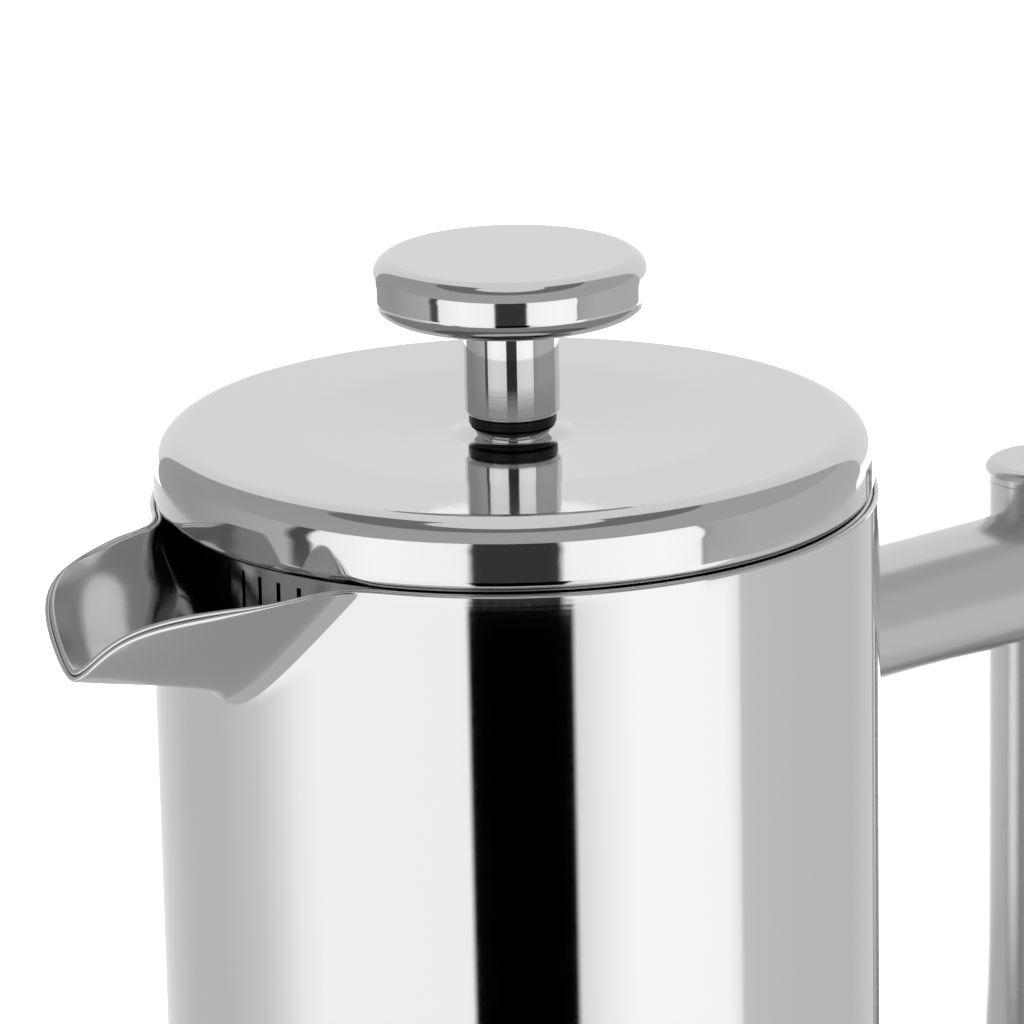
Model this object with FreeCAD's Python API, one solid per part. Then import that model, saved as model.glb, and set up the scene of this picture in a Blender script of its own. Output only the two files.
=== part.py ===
"""French press: a double-walled steel vessel with a tube handle, a turning lid and a plunger.

Frame: millimetres, +Z up, origin on the vessel's axis at the underside of its base.
The handle points along +X and the spout along -X.  The plunger is pressed down at rest.
"""
import FreeCAD
import Part

import math
import os

Vec = FreeCAD.Vector
Z_AXIS = Vec(0, 0, 1)

# Vessel
BODY_R = 50.0            # outside of the outer wall
RIM_Z = 165.0            # top of the rim
SHEET = 0.8              # wall sheet of both shells
LIP_SEAM = 0.06          # gap between the two sheets where they meet at the lip
AIR_GAP = 1.8            # how much further the shells stand apart lower down
GAP_START = 3.0          # distance below the lip where the shells begin to part
GAP_RUN = 14.0           # distance over which they part
FLOOR_Z = 6.0            # inside floor
LINER_Z = 5.0            # lowest point of the inner shell
BASE_H = 5.0             # height of the base cup
BASE_EDGE = 2.4          # radius of the base cup's edge
INNER_R = BODY_R - 2 * SHEET - LIP_SEAM - AIR_GAP
PLAIN_Z = 118.0          # the wall is a plain cylinder below this
PATCH_SIDE = math.radians(60)
PATCH_COLUMNS = 22
WALL_ROWS = 22
SEW = 5e-3               # edges of the wall's faces this close together are joined
WELD = 0.02              # gap left between welded or pressed pieces of one body

# Spout: a trough that grows out of the wall towards -X
REACH = 25.0             # from the wall to the front edge
MOUTH_HALF = 20.2        # half width where the lip leaves the wall
NARROWING = 11.6         # half width lost from there to the front edge
LIP_DROP = 3.0           # fall of the lip over the reach
KEEL_DROP = 17.2         # trough bottom below the rim, at the wall
KEEL_RISE = 6.4          # rise of the trough bottom over the reach
TROUGH_ROUND = 0.35      # roundness of the trough's bottom, as a share of its half width
BLEND = 13.0             # how far the trough and the wall run into each other
CORNER = 0.5             # rounding of the two front corners, as a share of the reach

# Handle
TUBE_R = 9.5
TUBE_WALL = 1.2
GRIP_R = 9.6
GRIP_X = 101.7
ARM_Z = 133.45
LOW_ARM_Z = 31.5
GRIP_OVERRUN = 16.65     # grip beyond each arm's axis
CAP_EDGE = 1.7
CAP_DEPTH = 2.4
CAP_PLUG = 4.0

# Lid
LID_R = 49.3
LID_T = 10.0
LID_SHEET = 1.0
LID_GAP = 0.1            # lid above the rim, so that it can turn
LID_EDGE = 4.45
LID_ROLL = 2.0
LID_Z = RIM_Z + LID_GAP + LID_T
DISH = 1.25              # how far the lid's middle is sunk
DISH_R = 30.0            # where the lid starts to sink
NECK_H = 1.3             # neck above the sunk middle
NECK_R = 5.5
NECK_TOP = NECK_H - DISH
FLARE_R = 9.8
SKIRT_R = 44.0
SKIRT_T = 0.8
SKIRT_H = 20.0
SLOT_W = 0.8
SLOT_H = 13.0
SLOT_COUNT = 9
SLOT_STEP = math.radians(5.0)

# Guide bush
ROD_R = 3.0
RUN_FIT = 0.06           # radial running clearance
BUSH_R = 4.5
BUSH_HEAD_R = 6.0
BUSH_HEAD_H = 1.25
NUT_FLATS = 15.0
NUT_H = 3.0

# Knob
KNOB_R = 19.0
KNOB_H = 8.05
KNOB_SHEET = 1.0
KNOB_EDGE = 3.0
KNOB_Z = LID_Z + 15.7
SLEEVE_R = 6.5
SLEEVE_EDGE = 0.8
INSERT_R = 7.0
INSERT_H = 4.5

# Filter stack, seen at rest near the floor
CROSS_Z = 12.0
CROSS_T = 1.0
CROSS_R = 43.0
CROSS_HOLES = 8
CROSS_HOLE_R = 8.5
CROSS_CIRCLE_R = 28.5
HUB_R = 6.0
HUB_H = 4.5
THREAD_R = 2.5
SCREEN_R = 45.4
SCREEN_T = 0.3
SCREEN_EDGE_H = 3.6
SPRING_R = 43.5          # centre line of the edge spring
SPRING_COIL_R = 1.3
PLATE_R = 42.0
PLATE_T = 0.8
HOLE_COUNT = 12
HOLE_R = 3.2
HOLE_CIRCLE_R = 30.0
COLLAR_R = 7.0
COLLAR_H = 4.0


def lathe(*steps):
    """Turn an outline about the Z axis.

    The first step is the start (r, z).  Each later step is (r, z) for a straight line, or
    ((r, z), (r, z)) for an arc through the first point to the second.
    """
    edges = []
    here = steps[0]
    for step in steps[1:] + (steps[0],):
        if isinstance(step[0], tuple):
            middle, end = step
            arc = Part.Arc(Vec(here[0], 0, here[1]), Vec(middle[0], 0, middle[1]), Vec(end[0], 0, end[1]))
            edges.append(arc.toShape())
        else:
            end = step
            edges.append(Part.makeLine(Vec(here[0], 0, here[1]), Vec(end[0], 0, end[1])))
        here = end
    return Part.Face(Part.Wire(edges)).revolve(Vec(0, 0, 0), Z_AXIS, 360)


def corner(centre, radius, start, end):
    """Arc step about centre, from angle start to angle end in degrees, for lathe()."""
    points = []
    for degrees in ((start + end) / 2, end):
        angle = math.radians(degrees)
        points.append((centre[0] + radius * math.cos(angle), centre[1] + radius * math.sin(angle)))
    return tuple(points)


def ring(inner_r, outer_r, low, high):
    """Plain ring between two heights."""
    outer = Part.makeCylinder(outer_r, high - low, Vec(0, 0, low))
    return outer.cut(Part.makeCylinder(inner_r, high - low + 2, Vec(0, 0, low - 1)))


def half_width(t):
    """Half width of the trough at the lip; t is 0 at the wall and 1 at the front edge."""
    return MOUTH_HALF - NARROWING * max(t, 0.0) ** 1.8


def lip_height(t):
    return RIM_Z - LIP_DROP * max(t, 0.0) ** 1.5


def trough_height(x, y):
    """Height of the trough's underside, x mm out from the axis and y mm to the side."""
    t = (x - BODY_R) / REACH
    keel = RIM_Z - KEEL_DROP + KEEL_RISE * t
    across = y / max(half_width(t), 1.0)
    bend = math.hypot(across, TROUGH_ROUND) - TROUGH_ROUND
    return keel + (lip_height(t) - keel) * bend / (math.hypot(1.0, TROUGH_ROUND) - TROUGH_ROUND)


def wall_radius(theta, z):
    """Outside radius of the vessel at height z, theta away from the spout's direction."""
    low = BODY_R - BLEND
    high = BODY_R + 1.5 * REACH
    c = math.cos(theta)
    s = math.sin(theta)
    if theta > math.pi / 2 or trough_height(low * c, low * s) > z:
        return BODY_R
    for _ in range(36):
        middle = (low + high) / 2
        if trough_height(middle * c, middle * s) < z:
            low = middle
        else:
            high = middle
    overlap = max(1.0 - abs(BODY_R - low) / BLEND, 0.0)
    return max(BODY_R, low) + overlap ** 3 * BLEND / 6


def lip_reach(theta):
    """Where the lip stands at theta: 0 at the wall, 1 at the front edge, negative beyond the spout."""
    low = -3.0
    high = 1.6
    if theta < 1e-6:
        return 1.0
    for _ in range(40):
        middle = (low + high) / 2
        if (BODY_R + REACH * middle) * math.tan(theta) < half_width(middle):
            low = middle
        else:
            high = middle
    overlap = max(1.0 - abs(1.0 - low) / CORNER, 0.0)
    return min(1.0, low) - overlap ** 3 * CORNER / 6


def top_height(theta):
    """Height of the vessel's top edge at theta."""
    if theta > math.pi / 3:
        return RIM_Z
    t = lip_reach(theta)
    if t <= 0:
        return RIM_Z
    x = BODY_R + REACH * t
    return min(trough_height(x, x * math.tan(theta)), RIM_Z)


def smooth(share):
    """Smooth step from 0 to 1."""
    share = min(max(share, 0.0), 1.0)
    return share * share * (3 - 2 * share)


def wall_column(theta):
    """Points on the outside of the wall's upper part at theta, each with its outward normal."""
    heights = even_heights(theta, PLAIN_Z, top_height(theta), WALL_ROWS)
    return [wall_point(theta, z) for z in heights]


def even_heights(theta, low, high, rows):
    """Heights from low to high whose points are evenly spaced along the wall."""
    count = 200
    zs = [low + (high - low) * i / count for i in range(count + 1)]
    radii = [wall_radius(theta, z) for z in zs]
    along = [0.0]
    for i in range(count):
        along.append(along[-1] + math.hypot(zs[i + 1] - zs[i], radii[i + 1] - radii[i]))
    heights = []
    i = 0
    for row in range(rows + 1):
        target = along[-1] * row / rows
        while i < count - 1 and along[i + 1] < target:
            i += 1
        share = (target - along[i]) / (along[i + 1] - along[i])
        heights.append(zs[i] + share * (zs[i + 1] - zs[i]))
    return heights


def wall_point(theta, z):
    """One point on the outside of the wall and its outward normal."""
    step = 1e-3
    r = wall_radius(theta, z)
    slope = (wall_radius(theta, z + step) - wall_radius(theta, z - step)) / (2 * step)
    side = (wall_radius(theta + step, z) - wall_radius(abs(theta - step), z)) / (2 * step) / r
    if theta < step:
        side = 0.0
    c = math.cos(theta)
    s = math.sin(theta)
    normal = Vec(-(c + side * s), s - side * c, -slope * (1 - levelled(theta, z)))
    return Vec(-r * c, r * s, z), normal.normalize()


def levelled(theta, z):
    """How far the sheets are stacked sideways only, so that both end level along the spout's sides."""
    beside = smooth((theta - math.radians(11)) / math.radians(9))
    return beside * (1 - smooth((RIM_Z - LIP_DROP - z) / 9))


def patch_angles(count):
    """Angles from the spout's middle to the side of its patch, closest together in the middle."""
    return [PATCH_SIDE * (0.5 * i / count + 0.5 * (i / count) ** 3) for i in range(count + 1)]


def mirrored(point):
    return Vec(point.x, -point.y, point.z)


def column_depths(column):
    """Distance of each point of a column below the top edge, along the wall."""
    depths = [0.0]
    for i in range(len(column) - 1, 0, -1):
        depths.append(depths[-1] + (column[i][0] - column[i - 1][0]).Length)
    return depths[::-1]


def offset_rows(columns, depth_of):
    """Grid of points set back from the wall by depth_of(distance below the top edge)."""
    grid = []
    for column in columns:
        depths = column_depths(column)
        grid.append([p - n * depth_of(d) for (p, n), d in zip(column, depths)])
    return grid


def both_sides(grid):
    """Grid of one side joined to its mirror image; the grid starts on the plane of symmetry."""
    other = [[mirrored(point) for point in column] for column in grid[1:]]
    return other[::-1] + grid


def wall_solid(low_z, outside, inside):
    """One sheet of the vessel's wall; outside and inside give its set-back from the outer surface.

    The spout and the wall beside it are one patch. The wall below it is straight, and the wall
    around the back is the side edge of the patch turned about the axis.
    """
    columns = [wall_column(angle) for angle in patch_angles(PATCH_COLUMNS)]
    around = -math.degrees(2 * math.pi - 2 * PATCH_SIDE)
    drop = Vec(0, 0, low_z - PLAIN_Z)
    faces = []
    rims = []
    feet = []
    lines = []
    for depth_of in (outside, inside):
        sheet = Part.BSplineSurface()
        sheet.interpolate(both_sides(offset_rows(columns, depth_of)))
        side, low, high = sheet.bounds()[1:]
        base = sheet.vIso(low).toShape()
        corner_low = sheet.value(side, low)
        faces.append(sheet.toShape())
        faces.append(base.extrude(drop))
        rims.append((Part.Wire(sheet.vIso(high).toShape()), sheet.value(side, high)))
        feet.append((Part.Wire(base.translated(drop)), corner_low + drop))
        lines.append(sheet.uIso(side).toShape())
        lines.append(Part.makeLine(corner_low, corner_low + drop))
    for (outer_wire, outer_end), (inner_wire, inner_end) in (rims, feet):
        faces.extend(Part.makeLoft([outer_wire, inner_wire], False, True).Faces)
        lines.append(Part.makeLine(outer_end, inner_end))
    faces.extend(line.revolve(Vec(0, 0, 0), Z_AXIS, around) for line in lines)
    shell = Part.makeCompound(faces)
    shell.sewShape(SEW)
    solid = Part.Solid(shell.Shells[0])
    if solid.Volume < 0:
        solid.reverse()
    return solid


def set_back(depth):
    """Set-back of the inner shell's outside: close at the lip, then an air gap."""
    return SHEET + LIP_SEAM + AIR_GAP * smooth((depth - GAP_START) / GAP_RUN)


def outer_shell():
    """Outer wall with the outside of the spout."""
    return wall_solid(BASE_H, lambda depth: 0.0, lambda depth: SHEET)


def inner_shell():
    """Inner wall, which meets the outer one at the rim and lines the spout."""
    return wall_solid(LINER_Z, set_back, lambda depth: set_back(depth) + SHEET)


def liner_base():
    """Floor of the inner vessel, pressed down slightly into the wall."""
    return lathe(
        (0, LINER_Z), (INNER_R - WELD, LINER_Z), (INNER_R - WELD, FLOOR_Z), (0, FLOOR_Z))


def base_cup():
    """Shallow cup with a flat floor and a round edge, welded under the outer wall."""
    bend = (BODY_R - BASE_EDGE, BASE_EDGE)
    return lathe(
        (0, 0), (bend[0], 0), corner(bend, BASE_EDGE, -90, 0),
        (BODY_R, BASE_H - WELD), (BODY_R - SHEET, BASE_H - WELD),
        (BODY_R - SHEET, BASE_EDGE), corner(bend, BASE_EDGE - SHEET, 0, -90), (0, SHEET))


def arm(z):
    """Handle arm: a tube shaped to the vessel at one end and to the grip at the other."""
    length = GRIP_X - BODY_R + 10
    start = Vec(BODY_R - 10, 0, z)
    along = Vec(1, 0, 0)
    tube = Part.makeCylinder(TUBE_R, length, start, along)
    tube = tube.cut(Part.makeCylinder(TUBE_R - TUBE_WALL, length + 2, start - along, along))
    tall = 4 * TUBE_R
    tube = tube.cut(Part.makeCylinder(BODY_R + WELD, tall, Vec(0, 0, z - tall / 2)))
    return tube.cut(Part.makeCylinder(GRIP_R + WELD, tall, Vec(GRIP_X, 0, z - tall / 2)))


def grip_tube():
    low = LOW_ARM_Z - GRIP_OVERRUN + CAP_DEPTH + WELD
    high = ARM_Z + GRIP_OVERRUN - CAP_DEPTH - WELD
    tube = ring(GRIP_R - TUBE_WALL, GRIP_R, low, high)
    return moved(tube, GRIP_X, 0, 0)


def grip_cap(top):
    """End cap of the grip with a rounded edge and a plug that fits inside the tube."""
    plug_r = GRIP_R - TUBE_WALL - WELD
    cap = lathe(
        (0, -CAP_DEPTH - CAP_PLUG), (plug_r, -CAP_DEPTH - CAP_PLUG), (plug_r, -CAP_DEPTH),
        (GRIP_R, -CAP_DEPTH), (GRIP_R, -CAP_EDGE),
        corner((GRIP_R - CAP_EDGE, -CAP_EDGE), CAP_EDGE, 0, 90), (0, 0))
    if top:
        return moved(cap, GRIP_X, 0, ARM_Z + GRIP_OVERRUN)
    cap = cap.mirror(Vec(0, 0, 0), Z_AXIS)
    return moved(cap, GRIP_X, 0, LOW_ARM_Z - GRIP_OVERRUN)


def moved(shape, x, y, z):
    shape = shape.copy()
    shape.translate(Vec(x, y, z))
    return shape


def lid_shell():
    """Pressed cover: a top sunk towards a small neck, a rounded edge and a rolled lower edge."""
    bore = BUSH_R + RUN_FIT
    low = -LID_T
    edge = (LID_R - LID_EDGE, -LID_EDGE)
    roll = (LID_R - LID_ROLL, low + LID_ROLL)
    cover = lathe(
        (bore, NECK_TOP), (NECK_R, NECK_TOP), ((6.5, 0.38 - DISH), (FLARE_R, -DISH)),
        (DISH_R, 0), (edge[0], 0),
        corner(edge, LID_EDGE, 90, 0), (LID_R, roll[1]),
        corner(roll, LID_ROLL, 0, -90), (roll[0], low + LID_SHEET),
        corner(roll, LID_ROLL - LID_SHEET, -90, 0), (LID_R - LID_SHEET, edge[1]),
        corner(edge, LID_EDGE - LID_SHEET, 0, 90), (DISH_R, -LID_SHEET),
        (FLARE_R, -DISH - LID_SHEET), (bore, -DISH - LID_SHEET))
    return moved(cover, 0, 0, LID_Z)


def lid_under_plate():
    low = LID_Z - LID_T
    return ring(BUSH_R + RUN_FIT, LID_R - LID_ROLL - WELD, low, low + LID_SHEET)


def lid_skirt():
    """Ring that hangs inside the rim, slotted on the spout's side to hold back grounds."""
    high = LID_Z - LID_T
    skirt = ring(SKIRT_R - SKIRT_T, SKIRT_R, high - SKIRT_H, high)
    for i in range(SLOT_COUNT):
        angle = math.degrees(SLOT_STEP * (i - (SLOT_COUNT - 1) / 2))
        slot = Part.makeBox(6, SLOT_W, SLOT_H, Vec(-SKIRT_R - 3, -SLOT_W / 2, high - 3 - SLOT_H))
        slot.rotate(Vec(0, 0, 0), Z_AXIS, angle)
        skirt = skirt.cut(slot)
    return skirt


def lid_bush():
    """Guide for the rod, with a head that sits on the lid's neck."""
    bore = ROD_R + RUN_FIT
    low = -LID_T - NUT_H - 0.1
    head = NECK_TOP + 0.05
    top = head + BUSH_HEAD_H
    bush = lathe(
        (bore, low), (BUSH_R, low), (BUSH_R, head), (BUSH_HEAD_R, head),
        (BUSH_HEAD_R, top - 0.3), (BUSH_HEAD_R - 0.3, top), (bore, top))
    return moved(bush, 0, 0, LID_Z)


def bush_nut():
    """Six-sided nut that holds the bush from under the lid."""
    low = LID_Z - LID_T - NUT_H - 0.1
    corner_r = NUT_FLATS / 2 / math.cos(math.pi / 6)
    points = []
    for i in range(7):
        angle = i * math.pi / 3
        points.append(Vec(corner_r * math.cos(angle), corner_r * math.sin(angle), low))
    nut = Part.Face(Part.makePolygon(points)).extrude(Vec(0, 0, NUT_H))
    return nut.cut(Part.makeCylinder(BUSH_R + WELD, NUT_H + 2, Vec(0, 0, low - 1)))


def knob_cap():
    """Flat round knob: a pressed shell whose lower edge turns in around the base."""
    edge = (KNOB_R - KNOB_EDGE, KNOB_H - KNOB_EDGE)
    roll = (KNOB_R - KNOB_EDGE, KNOB_EDGE)
    inside = KNOB_EDGE - KNOB_SHEET
    cap = lathe(
        (0, KNOB_H), (edge[0], KNOB_H), corner(edge, KNOB_EDGE, 90, 0), (KNOB_R, roll[1]),
        corner(roll, KNOB_EDGE, 0, -90), (roll[0], KNOB_SHEET),
        corner(roll, inside, -90, 0), (KNOB_R - KNOB_SHEET, edge[1]),
        corner(edge, inside, 0, 90), (0, KNOB_H - KNOB_SHEET))
    return moved(cap, 0, 0, KNOB_Z)


def knob_base():
    return ring(ROD_R + WELD, KNOB_R - KNOB_EDGE - WELD, KNOB_Z, KNOB_Z + KNOB_SHEET)


def knob_insert():
    """Threaded insert inside the knob that takes the end of the rod."""
    low = KNOB_Z + KNOB_SHEET
    return ring(ROD_R + WELD, INSERT_R, low, low + INSERT_H)


def knob_sleeve():
    low = LID_Z + NECK_TOP + BUSH_HEAD_H + 0.1
    return lathe(
        (ROD_R + WELD, low), (SLEEVE_R - SLEEVE_EDGE, low),
        corner((SLEEVE_R - SLEEVE_EDGE, low + SLEEVE_EDGE), SLEEVE_EDGE, -90, 0),
        (SLEEVE_R, KNOB_Z), (ROD_R + WELD, KNOB_Z))


def plunger_rod():
    """Rod with a thinner threaded end that passes through the filter stack."""
    shoulder = collar_z()
    low = CROSS_Z - HUB_H + 0.5
    high = KNOB_Z + KNOB_SHEET + INSERT_H - 0.5
    return lathe(
        (0, low), (THREAD_R - 0.5, low), (THREAD_R, low + 0.5), (THREAD_R, shoulder),
        (ROD_R, shoulder), (ROD_R, high - 0.5), (ROD_R - 0.5, high), (0, high))


def plate_z():
    return CROSS_Z + CROSS_T + SCREEN_T + 1.3


def collar_z():
    return plate_z() + PLATE_T + 0.1


def rod_collar():
    """Collar on the rod that presses on the filter's upper plate."""
    low = collar_z()
    return lathe(
        (ROD_R + WELD, low), (COLLAR_R, low), (COLLAR_R, low + COLLAR_H - 1),
        (COLLAR_R - 1, low + COLLAR_H), (ROD_R + WELD, low + COLLAR_H))


def drilled(plate, count, hole_r, circle_r, low, thickness):
    """Plate with a ring of round holes."""
    for i in range(count):
        angle = 2 * math.pi * i / count
        at = Vec(circle_r * math.cos(angle), circle_r * math.sin(angle), low - 1)
        plate = plate.cut(Part.makeCylinder(hole_r, thickness + 2, at))
    return plate


def spring_plate():
    """Upper plate of the filter, with a ring of holes; the edge spring sits around it."""
    low = plate_z()
    plate = ring(THREAD_R + RUN_FIT, PLATE_R, low, low + PLATE_T)
    return drilled(plate, HOLE_COUNT, HOLE_R, HOLE_CIRCLE_R, low, PLATE_T)


def edge_spring():
    """Outline of the coil that presses the screen against the wall."""
    return Part.makeTorus(SPRING_R, SPRING_COIL_R, Vec(0, 0, plate_z() + PLATE_T / 2))


def mesh_screen():
    """Fine wire screen with an edge turned up around the spring."""
    low = CROSS_Z + CROSS_T
    return lathe(
        (THREAD_R + RUN_FIT, low), (SCREEN_R, low), (SCREEN_R, low + SCREEN_EDGE_H),
        (SCREEN_R - SCREEN_T, low + SCREEN_EDGE_H), (SCREEN_R - SCREEN_T, low + SCREEN_T),
        (THREAD_R + RUN_FIT, low + SCREEN_T))


def cross_plate():
    """Lower plate of the filter, with a ring of large holes."""
    plate = ring(THREAD_R + RUN_FIT, CROSS_R, CROSS_Z, CROSS_Z + CROSS_T)
    return drilled(plate, CROSS_HOLES, CROSS_HOLE_R, CROSS_CIRCLE_R, CROSS_Z, CROSS_T)


def cross_hub():
    """Threaded hub under the cross plate."""
    low = CROSS_Z - HUB_H
    bore = THREAD_R + RUN_FIT
    return lathe(
        (bore, low), (HUB_R - 0.8, low), (HUB_R, low + 0.8), (HUB_R, CROSS_Z), (bore, CROSS_Z))


def main():
    nodes = {
        "outer_shell": outer_shell(),
        "inner_shell": inner_shell(),
        "liner_base": liner_base(),
        "base_cup": base_cup(),
        "upper_arm": arm(ARM_Z),
        "lower_arm": arm(LOW_ARM_Z),
        "grip_tube": grip_tube(),
        "grip_top_cap": grip_cap(True),
        "grip_bottom_cap": grip_cap(False),
        "lid_shell": lid_shell(),
        "lid_under_plate": lid_under_plate(),
        "lid_skirt": lid_skirt(),
        "lid_bush": lid_bush(),
        "bush_nut": bush_nut(),
        "knob_cap": knob_cap(),
        "knob_base": knob_base(),
        "knob_insert": knob_insert(),
        "knob_sleeve": knob_sleeve(),
        "plunger_rod": plunger_rod(),
        "rod_collar": rod_collar(),
        "spring_plate": spring_plate(),
        "edge_spring": edge_spring(),
        "mesh_screen": mesh_screen(),
        "cross_plate": cross_plate(),
        "cross_hub": cross_hub(),
    }
    os.makedirs("parts", exist_ok=True)
    for name, shape in nodes.items():
        if len(shape.Solids) == 1:
            shape = shape.Solids[0]
        shape.exportStep("parts/" + name + ".step")


main()
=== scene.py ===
"""French press in polished steel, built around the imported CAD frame."""

import math

import bpy
import numpy as np
from mathutils import Matrix, Vector


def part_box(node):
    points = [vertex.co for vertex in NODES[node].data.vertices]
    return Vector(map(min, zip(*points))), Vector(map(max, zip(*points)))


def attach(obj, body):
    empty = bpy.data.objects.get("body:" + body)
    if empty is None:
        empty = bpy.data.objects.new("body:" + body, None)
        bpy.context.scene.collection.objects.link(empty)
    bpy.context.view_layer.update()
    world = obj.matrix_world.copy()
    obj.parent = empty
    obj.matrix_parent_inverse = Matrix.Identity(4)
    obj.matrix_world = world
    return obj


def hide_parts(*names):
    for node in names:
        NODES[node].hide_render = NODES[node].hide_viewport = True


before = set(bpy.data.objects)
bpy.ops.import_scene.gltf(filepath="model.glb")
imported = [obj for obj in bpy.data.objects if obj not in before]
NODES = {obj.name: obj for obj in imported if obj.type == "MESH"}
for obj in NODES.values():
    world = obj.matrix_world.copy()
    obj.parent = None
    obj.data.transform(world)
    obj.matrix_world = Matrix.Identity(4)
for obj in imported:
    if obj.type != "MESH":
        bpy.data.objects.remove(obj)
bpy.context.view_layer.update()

MM = 0.001

# ---------------------------------------------------------------- sizes, in millimetres


def node_box(name):
    """Lowest and highest corner of a CAD node, in millimetres."""
    low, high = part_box(name)
    return Vector(low) / MM, Vector(high) / MM


LID_HIGH = node_box("lid_shell")[1]
KNOB_LOW, KNOB_HIGH = node_box("knob_cap")
SLEEVE_LOW, SLEEVE_HIGH = node_box("knob_sleeve")
BUSH_LOW, BUSH_HIGH = node_box("lid_bush")
CUP_LOW, CUP_HIGH = node_box("base_cup")
WALL_LOW = node_box("outer_shell")[0]
LINER_LOW = node_box("inner_shell")[0]
ARM_LOW, ARM_HIGH = node_box("upper_arm")
LOW_ARM_LOW, LOW_ARM_HIGH = node_box("lower_arm")
GRIP_LOW, GRIP_HIGH = node_box("grip_tube")
TOP_CAP_LOW, TOP_CAP_HIGH = node_box("grip_top_cap")
FOOT_CAP_LOW, FOOT_CAP_HIGH = node_box("grip_bottom_cap")
SPRING_LOW, SPRING_HIGH = node_box("edge_spring")

# Vessel
BODY_R = 50.0            # outside of the outer wall
BASE_EDGE = 2.4          # radius of the base cup's edge
RIM_Z = 165.0            # top of the rim
PLAIN_TOP = RIM_Z - 60   # below this the wall's mesh has few rows
SHEET = 0.8              # wall sheet
LIP_SEAM = 0.06          # gap between the two sheets where they meet at the lip
AIR_GAP = 1.8            # how much further the shells stand apart lower down
GAP_START = 3.0          # distance below the lip where the shells begin to part
GAP_RUN = 14.0           # distance over which they part
WELD = 0.02              # gap left between welded or pressed pieces

# Spout
REACH = 25.0             # from the wall to the front edge
MOUTH_HALF = 20.2        # half width where the lip leaves the wall
NARROWING = 11.6         # half width lost from there to the front edge
LIP_DROP = 3.0           # fall of the lip over the reach
KEEL_DROP = 17.2         # trough bottom below the rim, at the wall
KEEL_RISE = 6.4          # rise of the trough bottom over the reach
TROUGH_ROUND = 0.35      # roundness of the trough's bottom, as a share of its half width
BLEND = 13.0             # how far the trough and the wall run into each other
CORNER = 0.5             # rounding of the two front corners, as a share of the reach

# Lid, knob and handle
DISH = 1.25              # how far the lid's middle is sunk
DISH_R = 30.0            # where the lid starts to sink
NECK_H = 1.3             # neck above the sunk middle
NECK_TOP = NECK_H - DISH
NECK_R = 5.5
FLARE_R = 9.8
LID_R = 49.3
LID_T = 10.0
LID_EDGE = 4.45
LID_ROLL = 2.0
LID_SHEET = 1.0
LID_Z = LID_HIGH.z - NECK_TOP
KNOB_R = 19.0
KNOB_EDGE = 3.0
KNOB_SHEET = 1.0
ROD_R = 3.0
BUSH_BORE_R = 3.06
BUSH_R = 4.5
BUSH_HEAD_R = 6.0
BUSH_HEAD_H = 1.25
LID_BORE_R = 4.56
TUBE_WALL = 1.2
CAP_DEPTH = 2.4
CAP_EDGE = 1.7

# ---------------------------------------------------------------- meshes


def make_piece(name, points, faces, normals, material, body, *nodes):
    """Mesh piece from millimetre points, with exact vertex normals, riding on a body."""
    mesh = bpy.data.meshes.new(name)
    points = np.asarray(points)
    normals = np.asarray(normals)
    mesh.from_pydata([tuple(p) for p in points * MM], [], outward(faces, points, normals))
    mesh.polygons.foreach_set("use_smooth", [True] * len(mesh.polygons))
    mesh.validate()
    mesh.normals_split_custom_set_from_vertices([tuple(n) for n in normals])
    mesh.materials.append(material)
    piece = bpy.data.objects.new(name, mesh)
    bpy.context.scene.collection.objects.link(piece)
    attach(piece, body)
    if nodes:
        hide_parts(*nodes)
    return piece


def outward(faces, points, normals):
    """Faces wound so that they look the way their normals point."""
    first = np.array([face[:3] for face in faces])
    a, b, c = (points[first[:, i]] for i in range(3))
    agreement = np.sum(np.cross(b - a, c - a) * normals[first[:, 0]])
    return faces if agreement > 0 else [face[::-1] for face in faces]


def grid_faces(columns, rows, close_columns=True, close_rows=True):
    """Quads of a grid stored column by column."""
    faces = []
    for i in range(columns if close_columns else columns - 1):
        k = (i + 1) % columns
        for j in range(rows if close_rows else rows - 1):
            m = (j + 1) % rows
            faces.append((i * rows + j, k * rows + j, k * rows + m, i * rows + m))
    return faces


def rounded(outline, steps=7):
    """Outline of (r, z, radius) corners, anticlockwise, as points with their outward normals."""
    count = len(outline)
    result = []
    for i in range(count):
        here = Vector(outline[i][:2])
        before = (Vector(outline[i - 1][:2]) - here).normalized()
        after = (Vector(outline[(i + 1) % count][:2]) - here).normalized()
        radius = outline[i][2]
        if radius == 0:
            result.append((here.x, here.y, None))
            continue
        half = before.angle(after) / 2
        reach = radius / math.tan(half)
        centre = here + (before + after).normalized() * (radius / math.sin(half))
        start = here + before * reach - centre
        turn = math.pi - 2 * half
        if before.x * after.y - before.y * after.x > 0:
            turn = -turn
        for j in range(steps + 1):
            a = turn * j / steps
            arm = Vector((
                start.x * math.cos(a) - start.y * math.sin(a),
                start.x * math.sin(a) + start.y * math.cos(a)))
            normal = arm.normalized() * (1 if turn > 0 else -1)
            result.append((centre.x + arm.x, centre.y + arm.y, normal))
    return result


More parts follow.
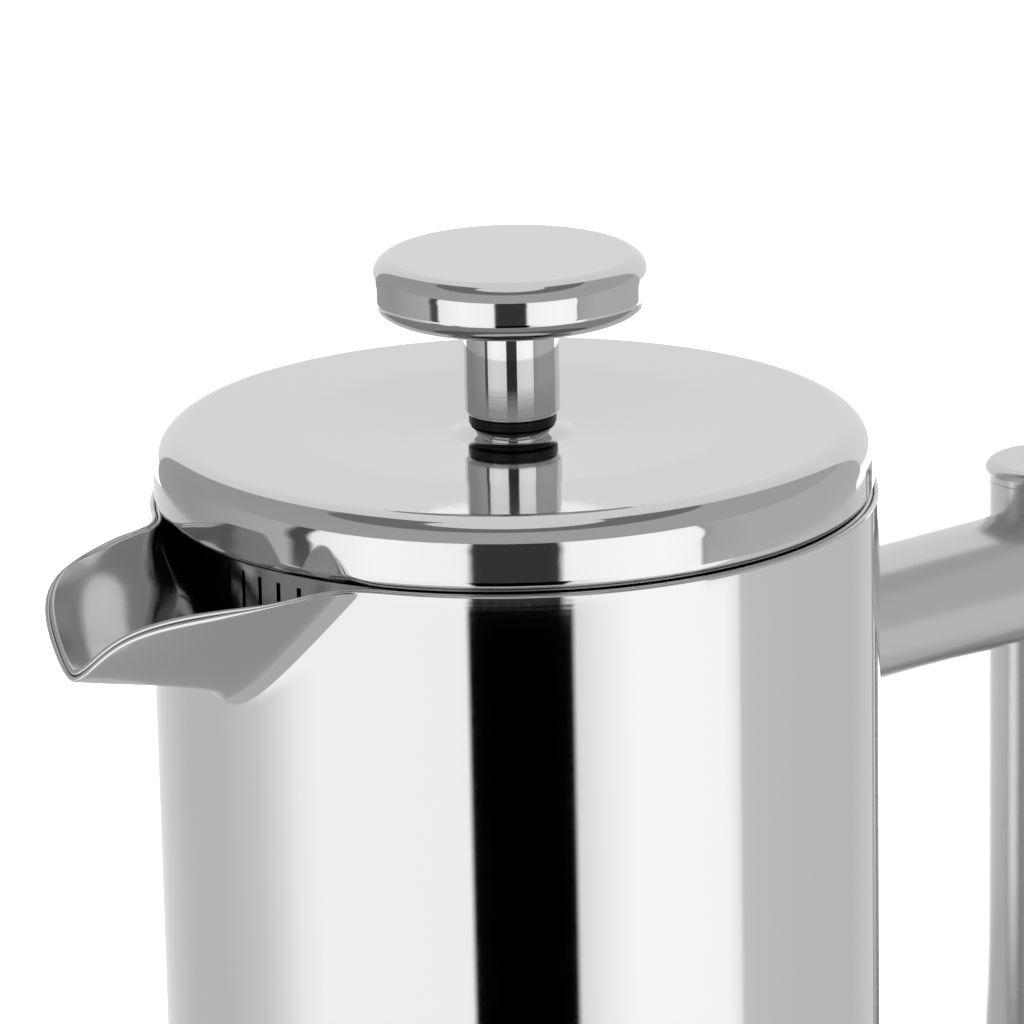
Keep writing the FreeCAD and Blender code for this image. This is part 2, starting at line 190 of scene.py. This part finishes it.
def lathe(name, outline, material, body, *nodes, segments=192, centre=(0, 0, 0), steps=7):
    """Piece turned from an outline about a vertical axis.

    A corner of radius 0 is only allowed on the axis, where the outline closes on itself.
    """
    profile = rounded(outline, steps)
    points = []
    normals = []
    rings = []
    for r, z, normal in profile:
        if normal is None:
            rings.append([len(points)])
            points.append((centre[0], centre[1], z + centre[2]))
            low = z < sum(p[1] for p in profile) / len(profile)
            normals.append((0, 0, -1 if low else 1))
            continue
        rings.append(list(range(len(points), len(points) + segments)))
        for s in range(segments):
            a = 2 * math.pi * s / segments
            c, d = math.cos(a), math.sin(a)
            points.append((centre[0] + r * c, centre[1] + r * d, z + centre[2]))
            normals.append((normal.x * c, normal.x * d, normal.y))
    faces = []
    for j, ring in enumerate(rings):
        other = rings[(j + 1) % len(rings)]
        if len(ring) == 1 and len(other) == 1:
            continue
        for s in range(segments):
            t = (s + 1) % segments
            if len(ring) == 1:
                faces.append((ring[0], other[t], other[s]))
            elif len(other) == 1:
                faces.append((ring[s], ring[t], other[0]))
            else:
                faces.append((ring[s], ring[t], other[t], other[s]))
    return make_piece(name, points, faces, normals, material, body, *nodes)


# ---------------------------------------------------------------- the vessel's wall


def smooth(share):
    share = np.clip(share, 0.0, 1.0)
    return share * share * (3 - 2 * share)


def half_width(t):
    return MOUTH_HALF - NARROWING * np.maximum(t, 0.0) ** 1.8


def trough_height(x, y):
    """Height of the trough's underside, x mm out from the axis and y mm to the side."""
    t = (x - BODY_R) / REACH
    keel = RIM_Z - KEEL_DROP + KEEL_RISE * t
    lip = RIM_Z - LIP_DROP * np.maximum(t, 0.0) ** 1.5
    across = y / np.maximum(half_width(t), 1.0)
    bend = np.hypot(across, TROUGH_ROUND) - TROUGH_ROUND
    return keel + (lip - keel) * bend / (math.hypot(1.0, TROUGH_ROUND) - TROUGH_ROUND)


def wall_radius(theta, z):
    """Outside radius of the vessel at height z, theta away from the spout's direction."""
    theta, z = np.broadcast_arrays(np.abs(theta), z)
    c, s = np.cos(theta), np.sin(theta)
    low = np.full(theta.shape, BODY_R - BLEND)
    high = np.full(theta.shape, BODY_R + 1.5 * REACH)
    plain = (theta > math.pi / 2) | (trough_height(low * c, low * s) > z)
    for _ in range(36):
        middle = (low + high) / 2
        below = trough_height(middle * c, middle * s) < z
        low = np.where(below, middle, low)
        high = np.where(below, high, middle)
    overlap = np.maximum(1.0 - np.abs(BODY_R - low) / BLEND, 0.0)
    return np.where(plain, BODY_R, np.maximum(BODY_R, low) + overlap ** 3 * BLEND / 6)


def lip_reach(theta):
    """Where the lip stands at theta: 0 at the wall, 1 at the front edge, negative beyond."""
    low = np.full(theta.shape, -3.0)
    high = np.full(theta.shape, 1.6)
    for _ in range(40):
        middle = (low + high) / 2
        inside = (BODY_R + REACH * middle) * np.tan(theta) < half_width(middle)
        low = np.where(inside, middle, low)
        high = np.where(inside, high, middle)
    overlap = np.maximum(1.0 - np.abs(1.0 - low) / CORNER, 0.0)
    return np.minimum(1.0, low) - overlap ** 3 * CORNER / 6


def top_height(theta):
    """Height of the vessel's top edge at theta."""
    t = lip_reach(np.minimum(theta, math.pi / 3))
    x = BODY_R + REACH * t
    edge = np.minimum(trough_height(x, x * np.tan(np.minimum(theta, math.pi / 3))), RIM_Z)
    return np.where((t <= 0) | (theta > math.pi / 3), RIM_Z, edge)


def wall_grid(low_z):
    """Points and outward normals of the wall's outside, for half the vessel, column by column."""
    front = np.linspace(0, 1, 121)
    front = math.pi / 2 * (0.45 * front + 0.55 * front ** 3)
    back = math.pi / 2 * (1 + np.linspace(0, 1, 41)[1:])
    theta = np.concatenate((front, back))
    rows = list(np.linspace(low_z, PLAIN_TOP, 13)[:-1])
    rows.extend(spread_heights(theta, PLAIN_TOP, top_height(theta), 100))
    grid = [wall_row(theta, z) for z in rows]
    points = np.stack([g[0] for g in grid], axis=1)
    normals = np.stack([g[1] for g in grid], axis=1)
    return points, normals


def spread_heights(theta, low, high, rows):
    """Rows of heights, evenly spaced along the wall in each column."""
    share = np.linspace(0, 1, 241)
    zs = low + (high[:, None] - low) * share
    radii = wall_radius(theta[:, None], zs)
    steps = np.hypot(np.diff(zs, axis=1), np.diff(radii, axis=1))
    along = np.concatenate((np.zeros((len(theta), 1)), np.cumsum(steps, axis=1)), axis=1)
    wanted = np.linspace(0, 1, rows + 1)
    return np.array([np.interp(wanted * a[-1], a, z) for a, z in zip(along, zs)]).T


def wall_row(theta, z):
    """One row of the wall and its outward normals."""
    step = 1e-3
    r = wall_radius(theta, z)
    slope = (wall_radius(theta, z + step) - wall_radius(theta, z - step)) / (2 * step)
    side = (wall_radius(theta + step, z) - wall_radius(theta - step, z)) / (2 * step) / r
    beside = smooth((theta - math.radians(11)) / math.radians(9))
    level = beside * (1 - smooth((RIM_Z - LIP_DROP - z) / 9))
    c, s = np.cos(theta), np.sin(theta)
    points = np.stack((-r * c, r * s, z + 0.0 * r), axis=1)
    normals = np.stack((-(c + side * s), s - side * c, -slope * (1 - level)), axis=1)
    return points, unit(normals)


def unit(v):
    return v / np.linalg.norm(v, axis=-1, keepdims=True)


def set_back(depth):
    return SHEET + LIP_SEAM + AIR_GAP * smooth((depth - GAP_START) / GAP_RUN)


def whole(grid):
    """Grid for the whole vessel from one for its +Y half."""
    other = grid[1:-1][::-1] * np.array((1, -1, 1))
    return np.concatenate((grid, other))


def surface_normals(grid, outward):
    """Normals of a closed grid of columns, on the side that outward points to."""
    across = np.roll(grid, -1, axis=0) - np.roll(grid, 1, axis=0)
    along = np.gradient(grid, axis=1)
    normals = unit(np.cross(across, along))
    flip = np.sign(np.sum(normals * outward, axis=-1, keepdims=True))
    return normals * flip


def edge_arc(outer, inner, before, steps=5):
    """Half-round rows from one side of the sheet to the other, and their normals."""
    middle = (outer + inner) / 2
    normal = unit(outer - inner)
    beyond = unit(outer - before)
    beyond = unit(beyond - normal * np.sum(beyond * normal, axis=-1, keepdims=True))
    radius = np.linalg.norm(outer - inner, axis=-1, keepdims=True) / 2
    points = []
    normals = []
    for i in range(1, steps + 1):
        a = math.pi * i / (steps + 1)
        arm = normal * math.cos(a) + beyond * math.sin(a)
        points.append(middle + arm * radius)
        normals.append(arm)
    return np.stack(points, axis=1), np.stack(normals, axis=1)


def wall_piece(name, low_z, outside, inside, material, node):
    """One sheet of the vessel's wall, closed round its top and bottom edges."""
    points, normals = wall_grid(low_z)
    lengths = np.linalg.norm(np.diff(points, axis=1), axis=2)
    tail = np.cumsum(lengths[:, ::-1], axis=1)[:, ::-1]
    depth = np.concatenate((tail, np.zeros((len(points), 1))), axis=1)[..., None]
    outer = whole(points - normals * outside(depth))
    inner = whole(points - normals * inside(depth))
    facing = whole(normals)
    outer_n = surface_normals(outer, facing)
    inner_n = surface_normals(inner, -facing)
    top, top_n = edge_arc(outer[:, -1], inner[:, -1], outer[:, -2])
    low, low_n = edge_arc(inner[:, 0], outer[:, 0], inner[:, 1])
    grid = np.concatenate((outer, top, inner[:, ::-1], low), axis=1)
    grid_n = np.concatenate((outer_n, top_n, inner_n[:, ::-1], low_n), axis=1)
    columns, rows = grid.shape[:2]
    return make_piece(name, grid.reshape(-1, 3), grid_faces(columns, rows),
                      grid_n.reshape(-1, 3), material, "vessel", node)


# ---------------------------------------------------------------- materials


def new_material(name, colour, metallic, roughness):
    material = bpy.data.materials.new(name)
    material.use_nodes = True
    shader = material.node_tree.nodes["Principled BSDF"]
    shader.inputs["Base Color"].default_value = (*colour, 1)
    shader.inputs["Metallic"].default_value = metallic
    shader.inputs["Roughness"].default_value = roughness
    return material, material.node_tree, shader


def add(tree, kind, **values):
    """Shader node with some of its inputs or settings given by name."""
    node = tree.nodes.new(kind)
    for key, value in values.items():
        if key in node.inputs:
            node.inputs[key].default_value = value
        else:
            setattr(node, key, value)
    return node


def brushed(name, colour, roughness, spread, grain, bump):
    """Steel with fine brushing: grain is how much finer the pattern is along X, Y and Z."""
    material, tree, shader = new_material(name, colour, 1.0, roughness)
    place = add(tree, "ShaderNodeTexCoord")
    scale = add(tree, "ShaderNodeMapping")
    scale.inputs["Scale"].default_value = grain
    noise = add(tree, "ShaderNodeTexNoise", Scale=1.0, Detail=4.0, Roughness=0.6)
    tree.links.new(place.outputs["Object"], scale.inputs["Vector"])
    tree.links.new(scale.outputs["Vector"], noise.inputs["Vector"])
    rough = add(tree, "ShaderNodeMapRange")
    rough.inputs["To Min"].default_value = max(roughness - spread, 0.0)
    rough.inputs["To Max"].default_value = roughness + spread
    tree.links.new(noise.outputs["Fac"], rough.inputs["Value"])
    tree.links.new(rough.outputs["Result"], shader.inputs["Roughness"])
    if bump:
        relief = add(tree, "ShaderNodeBump", Strength=bump, Distance=0.00002)
        tree.links.new(noise.outputs["Fac"], relief.inputs["Height"])
        tree.links.new(relief.outputs["Normal"], shader.inputs["Normal"])
    return material


def black_plastic():
    material, tree, shader = new_material("black_plastic", (0.006, 0.006, 0.006), 0.0, 0.3)
    shader.inputs["Specular IOR Level"].default_value = 0.15
    noise = add(tree, "ShaderNodeTexNoise", Scale=900.0, Detail=2.0)
    relief = add(tree, "ShaderNodeBump", Strength=0.1, Distance=0.00005)
    tree.links.new(noise.outputs["Fac"], relief.inputs["Height"])
    tree.links.new(relief.outputs["Normal"], shader.inputs["Normal"])
    return material


STEEL = (0.62, 0.62, 0.62)
polished = brushed("polished_steel", STEEL, 0.05, 0.02, (40, 40, 900), 0.15)
lid_steel = brushed("lid_steel", STEEL, 0.06, 0.02, (500, 500, 500), 0.1)
satin = brushed("satin_steel", (0.60, 0.60, 0.60), 0.22, 0.05, (300, 300, 1500), 0.3)
inner_steel = brushed("inner_steel", (0.55, 0.55, 0.55), 0.16, 0.05, (60, 60, 900), 0.3)
wire_steel = brushed("wire_steel", (0.52, 0.52, 0.52), 0.25, 0.08, (900, 900, 900), 0.3)
plastic = black_plastic()

# ---------------------------------------------------------------- pieces


def make_walls():
    wall_piece("wall_outer", WALL_LOW.z, lambda d: 0.0 * d, lambda d: SHEET + 0.0 * d,
               polished, "outer_shell")
    wall_piece("wall_inner", LINER_LOW.z, set_back, lambda d: set_back(d) + SHEET,
               inner_steel, "inner_shell")
    inside = BODY_R - SHEET
    outline = [
        (0, CUP_LOW.z, 0), (BODY_R, CUP_LOW.z, BASE_EDGE), (BODY_R, CUP_HIGH.z, 0.1),
        (inside, CUP_HIGH.z, 0.1), (inside, CUP_LOW.z + SHEET, BASE_EDGE - SHEET),
        (0, CUP_LOW.z + SHEET, 0)]
    lathe("base_pan", outline, polished, "vessel", "base_cup", segments=256)


def make_lid():
    low = -LID_T
    inside = LID_R - LID_SHEET
    outline = [
        (LID_BORE_R, -DISH - LID_SHEET, 0.2), (FLARE_R, -DISH - LID_SHEET, 10.0),
        (DISH_R, -LID_SHEET, 60.0), (inside, -LID_SHEET, LID_EDGE - LID_SHEET),
        (inside, low + LID_SHEET, LID_ROLL - LID_SHEET), (LID_R - LID_ROLL, low + LID_SHEET, 0.2),
        (LID_R - LID_ROLL, low, 0.2), (LID_R, low, LID_ROLL), (LID_R, 0, LID_EDGE),
        (DISH_R, 0, 60.0), (FLARE_R - 1.6, -DISH, 3.2), (NECK_R + 0.3, NECK_TOP - 0.1, 0.25),
        (LID_BORE_R, NECK_TOP, 0.2)]
    lathe("lid_cover", outline, lid_steel, "lid", "lid_shell", segments=256,
          centre=(0, 0, LID_Z), steps=12)


def make_knob():
    high = KNOB_HIGH.z - KNOB_LOW.z
    hollow = KNOB_EDGE - KNOB_SHEET
    outline = [
        (0, high - KNOB_SHEET, 0), (KNOB_R - KNOB_SHEET, high - KNOB_SHEET, hollow),
        (KNOB_R - KNOB_SHEET, KNOB_SHEET, hollow), (KNOB_R - KNOB_EDGE, KNOB_SHEET, 0.1),
        (KNOB_R - KNOB_EDGE - WELD, 0, 0.1), (KNOB_R, 0, KNOB_EDGE), (KNOB_R, high, KNOB_EDGE),
        (0, high, 0)]
    lathe("knob_top", outline, lid_steel, "plunger", "knob_cap", segments=192,
          centre=(0, 0, KNOB_LOW.z), steps=12)
    radius = SLEEVE_HIGH.x
    tall = SLEEVE_HIGH.z - SLEEVE_LOW.z
    outline = [
        (ROD_R + WELD, 0, 0.1), (radius, 0, 0.8), (radius, tall, 0.15), (ROD_R + WELD, tall, 0.1)]
    lathe("sleeve", outline, polished, "plunger", "knob_sleeve", segments=128,
          centre=(0, 0, SLEEVE_LOW.z))


def make_bush():
    head = BUSH_HIGH.z - BUSH_HEAD_H
    outline = [
        (BUSH_BORE_R, BUSH_LOW.z, 0.1), (BUSH_R, BUSH_LOW.z, 0.2), (BUSH_R, head, 0.1),
        (BUSH_HEAD_R, head, 0.2), (BUSH_HEAD_R, BUSH_HIGH.z, 0.35),
        (BUSH_BORE_R, BUSH_HIGH.z, 0.1)]
    lathe("bush_ring", outline, plastic, "lid", "lid_bush", segments=96)


def make_arm(name, low, high, node):
    """Handle arm: a tube shaped to the vessel at one end and to the grip at the other."""
    radius = (high.z - low.z) / 2
    axis_z = (high.z + low.z) / 2
    grip_r = (GRIP_HIGH.x - GRIP_LOW.x) / 2
    grip_x = (GRIP_HIGH.x + GRIP_LOW.x) / 2
    around = np.linspace(0, 2 * math.pi, 129)[:-1]
    loops = []
    for r, order in ((radius, 1), (radius - TUBE_WALL, -1)):
        y, z = r * np.cos(around), r * np.sin(around)
        near = np.sqrt((BODY_R + WELD) ** 2 - y * y)
        far = grip_x - np.sqrt(np.maximum((grip_r + WELD) ** 2 - y * y, 0))
        facing = np.stack((0 * y, np.cos(around), np.sin(around)), axis=1) * order
        for share in (0.0, 0.03, 0.5, 0.97, 1.0)[::order]:
            x = near + (far - near) * share
            loops.append((np.stack((x, y, z + axis_z), axis=1), facing))
    points = np.stack([p for p, _ in loops], axis=1)
    normals = np.stack([n for _, n in loops], axis=1)
    make_piece(name, points.reshape(-1, 3), grid_faces(len(around), len(loops)),
               normals.reshape(-1, 3), satin, "vessel", node)


def make_handle():
    make_arm("arm_upper", ARM_LOW, ARM_HIGH, "upper_arm")
    make_arm("arm_lower", LOW_ARM_LOW, LOW_ARM_HIGH, "lower_arm")
    grip_r = (GRIP_HIGH.x - GRIP_LOW.x) / 2
    grip_x = (GRIP_HIGH.x + GRIP_LOW.x) / 2
    inner = grip_r - TUBE_WALL
    outline = [
        (inner, GRIP_LOW.z, 0.05), (grip_r, GRIP_LOW.z, 0.05), (grip_r, GRIP_HIGH.z, 0.05),
        (inner, GRIP_HIGH.z, 0.05)]
    lathe("grip_body", outline, satin, "vessel", "grip_tube", segments=128,
          centre=(grip_x, 0, 0))
    plug = inner - WELD
    high = TOP_CAP_HIGH.z
    outline = [
        (0, TOP_CAP_LOW.z, 0), (plug, TOP_CAP_LOW.z, 0.3), (plug, high - CAP_DEPTH, 0.05),
        (grip_r, high - CAP_DEPTH, 0.05), (grip_r, high, CAP_EDGE), (0, high, 0)]
    lathe("grip_cap_top", outline, satin, "vessel", "grip_top_cap", segments=128,
          centre=(grip_x, 0, 0), steps=10)
    low = FOOT_CAP_LOW.z
    outline = [
        (0, low, 0), (grip_r, low, CAP_EDGE), (grip_r, low + CAP_DEPTH, 0.05),
        (plug, low + CAP_DEPTH, 0.05), (plug, FOOT_CAP_HIGH.z, 0.3), (0, FOOT_CAP_HIGH.z, 0)]
    lathe("grip_cap_bottom", outline, satin, "vessel", "grip_bottom_cap", segments=128,
          centre=(grip_x, 0, 0), steps=10)


def make_spring():
    """Coil round the filter's upper plate."""
    coil_r = (SPRING_HIGH.z - SPRING_LOW.z) / 2
    major = SPRING_HIGH.x - coil_r
    middle = (SPRING_HIGH.z + SPRING_LOW.z) / 2
    wire = 0.3
    turns = 150
    steps_per_turn = 14
    sides = 6
    count = turns * steps_per_turn
    t = np.arange(count) / count * 2 * math.pi
    twist = t * turns

    def centre_line(t, twist):
        r = major + (coil_r - wire) * np.cos(twist)
        return np.stack((r * np.cos(t), r * np.sin(t), middle + (coil_r - wire) * np.sin(twist)), 1)

    line = centre_line(t, twist)
    ahead = unit(np.roll(line, -1, axis=0) - np.roll(line, 1, axis=0))
    hub = np.stack((major * np.cos(t), major * np.sin(t), np.full(count, middle)), axis=1)
    out = unit(line - hub)
    out = unit(out - ahead * np.sum(out * ahead, axis=1, keepdims=True))
    side = np.cross(ahead, out)
    points = []
    normals = []
    for k in range(sides):
        a = 2 * math.pi * k / sides
        arm = out * math.cos(a) + side * math.sin(a)
        points.append(line + arm * wire)
        normals.append(arm)
    points = np.stack(points, axis=1)
    normals = np.stack(normals, axis=1)
    make_piece("spring_coil", points.reshape(-1, 3), grid_faces(count, sides),
               normals.reshape(-1, 3), wire_steel, "filter", "edge_spring")


def paint_nodes():
    """Materials for the CAD nodes that show as they are."""
    looks = {
        inner_steel: ("liner_base", "lid_under_plate", "lid_skirt", "rod_collar",
                      "spring_plate", "cross_plate", "cross_hub", "knob_insert", "knob_base",
                      "plunger_rod"),
        wire_steel: ("mesh_screen",),
        plastic: ("bush_nut",),
    }
    for material, names in looks.items():
        for name in names:
            mesh = NODES[name].data
            mesh.materials.clear()
            mesh.materials.append(material)


# ---------------------------------------------------------------- studio


VIEW_AZIMUTH = math.radians(-39.209)
VIEW_DISTANCE = 18.0347 * LID_R * MM
VIEW_RISE = math.radians(15.501)
CAMERA_PITCH = math.radians(16.295)
CAMERA_YAW = math.radians(-0.024)
CAMERA_ROLL = math.radians(-1.151)
FOCAL_LENGTH = 228.79    # millimetres, on a sensor 36 mm wide

CARD_R = 0.20
CARD_HEIGHTS = (0.002, 0.118, 0.245, 0.50, 0.95)
MAT_Z = 0.003
MAT_STRENGTH = 0.62
FLOOR_HALF = 14.0
PALE = (0.93, 0.93, 0.93)


def light_material():
    """Light whose strength is given at each of the card's points."""
    material = bpy.data.materials.new("card_light")
    material.use_nodes = True
    tree = material.node_tree
    tree.nodes.clear()
    strength = add(tree, "ShaderNodeAttribute", attribute_name="strength")
    light = add(tree, "ShaderNodeEmission")
    end = add(tree, "ShaderNodeOutputMaterial")
    tree.links.new(strength.outputs["Fac"], light.inputs["Strength"])
    tree.links.new(light.outputs["Emission"], end.inputs["Surface"])
    return material


def card(name, points, faces, strengths, material):
    """Sheet of light that only reflections see."""
    mesh = bpy.data.meshes.new(name)
    mesh.from_pydata(points, [], faces)
    mesh.attributes.new("strength", "FLOAT", "POINT").data.foreach_set("value", strengths)
    mesh.materials.append(material)
    sheet = bpy.data.objects.new(name, mesh)
    bpy.context.scene.collection.objects.link(sheet)
    sheet.visible_camera = False
    sheet.visible_diffuse = False
    sheet.visible_shadow = False
    sheet.visible_transmission = False


def ring_point(degrees, height):
    """Point of the ring of cards, degrees to the right of the camera."""
    a = math.radians(degrees) + VIEW_AZIMUTH
    return CARD_R * math.sin(a), -CARD_R * math.cos(a), height


def ring_card(name, low, high, knots, material):
    """Curved card round the front; knots are (degrees, strength), with even fades between them."""
    points = []
    faces = []
    strengths = []
    for (start, first), (end, last) in zip(knots, knots[1:]):
        steps = max(round((end - start) / 3), 1)
        for i in range(steps + 1):
            share = i / steps
            for height in (low, high):
                points.append(ring_point(start + (end - start) * share, height))
                strengths.append(first + (last - first) * share)
            if i:
                k = len(points)
                faces.append((k - 4, k - 2, k - 1, k - 3))
    card(name, points, faces, strengths, material)


def make_cards():
    """Cards round the front: two white ones with a dark gap between, and grey to the sides."""
    light = light_material()
    foot, middle, high, above, top = CARD_HEIGHTS
    ring_card("card_low", foot, middle, (
        (-160, 0.90), (-153, 0.88), (-116, 0.72), (-96, 0.745), (-81, 0.86), (-73, 1.04),
        (-65, 1.28), (-58, 1.38), (-14, 1.36), (-12.5, 0.0), (14.5, 0.0), (16, 1.1), (24, 1.33),
        (32, 1.46), (60, 1.44), (64, 1.25), (65.5, 0.84), (69, 0.80), (117, 0.72), (135, 0.79),
        (150, 0.85)), light)
    ring_card("card_high", middle, high, (
        (-139, 0.46), (-110, 0.45), (-68, 0.60), (-65, 0.10), (-60, 0.10), (-58, 1.30),
        (-40, 1.45), (-13.5, 1.38), (-11.5, 0.05), (11.5, 0.05), (13.5, 1.40), (40, 1.48),
        (53, 1.42), (54, 0.45), (56, 0.55), (70, 0.62), (127, 0.60)), light)
    ring_card("card_above", high, above, ((-139, 0.45), (0, 0.52), (127, 0.52)), light)
    ring_card("card_edge", above, top, ((-139, 0.22), (127, 0.22)), light)
    rim = [ring_point(degrees, MAT_Z) for degrees in range(0, 360, 5)]
    card("card_mat", rim, [tuple(range(len(rim)))], [MAT_STRENGTH] * len(rim), light)


def make_world():
    world = bpy.data.worlds.new("studio")
    bpy.context.scene.world = world
    world.use_nodes = True
    world.node_tree.nodes["Background"].inputs["Color"].default_value = (*PALE, 1)


def make_floor():
    half = FLOOR_HALF
    corners = [(-half, -half, 0), (half, -half, 0), (half, half, 0), (-half, half, 0)]
    mesh = bpy.data.meshes.new("floor")
    mesh.from_pydata(corners, [], [(0, 1, 2, 3)])
    mesh.materials.append(new_material("floor", PALE, 0.0, 0.9)[0])
    floor = bpy.data.objects.new("floor", mesh)
    bpy.context.scene.collection.objects.link(floor)


def make_lights():
    for name, place, size, power in (
            ("top_light", (0.2, -0.3, 2.2), 3.0, 70.0), ("back_light", (0.8, 1.6, 1.8), 2.5, 40.0)):
        lamp = bpy.data.lights.new(name, "AREA")
        lamp.size = size
        lamp.energy = power
        light = bpy.data.objects.new(name, lamp)
        light.location = place
        light.rotation_euler = (-Vector(place)).to_track_quat("-Z", "Y").to_euler()
        light.visible_glossy = False
        light.visible_camera = False
        bpy.context.scene.collection.objects.link(light)


def make_camera():
    """Camera at the viewing angle: in front of the vessel, a little above, the handle going back."""
    flat = math.cos(CAMERA_PITCH)
    forward = Vector((
        math.sin(CAMERA_YAW) * flat, math.cos(CAMERA_YAW) * flat, -math.sin(CAMERA_PITCH)))
    level = Vector((math.cos(CAMERA_YAW), -math.sin(CAMERA_YAW), 0))
    upright = level.cross(forward)
    right = level * math.cos(CAMERA_ROLL) + upright * math.sin(CAMERA_ROLL)
    up = upright * math.cos(CAMERA_ROLL) - level * math.sin(CAMERA_ROLL)
    turn = Matrix.Rotation(VIEW_AZIMUTH, 3, "Z")
    place = turn @ Vector((
        0, -VIEW_DISTANCE * math.cos(VIEW_RISE), VIEW_DISTANCE * math.sin(VIEW_RISE)))
    place.z += LID_Z * MM
    axes = Matrix([turn @ right, turn @ up, turn @ -forward]).transposed()
    data = bpy.data.cameras.new("camera")
    data.sensor_width = 36.0
    data.lens = FOCAL_LENGTH
    camera = bpy.data.objects.new("camera", data)
    camera.matrix_world = Matrix.Translation(place) @ axes.to_4x4()
    bpy.context.scene.collection.objects.link(camera)
    bpy.context.scene.camera = camera


make_walls()
make_lid()
make_knob()
make_bush()
make_handle()
make_spring()
paint_nodes()
make_world()
make_floor()
make_lights()
make_cards()
make_camera()
bpy.context.scene.view_settings.view_transform = "Standard"
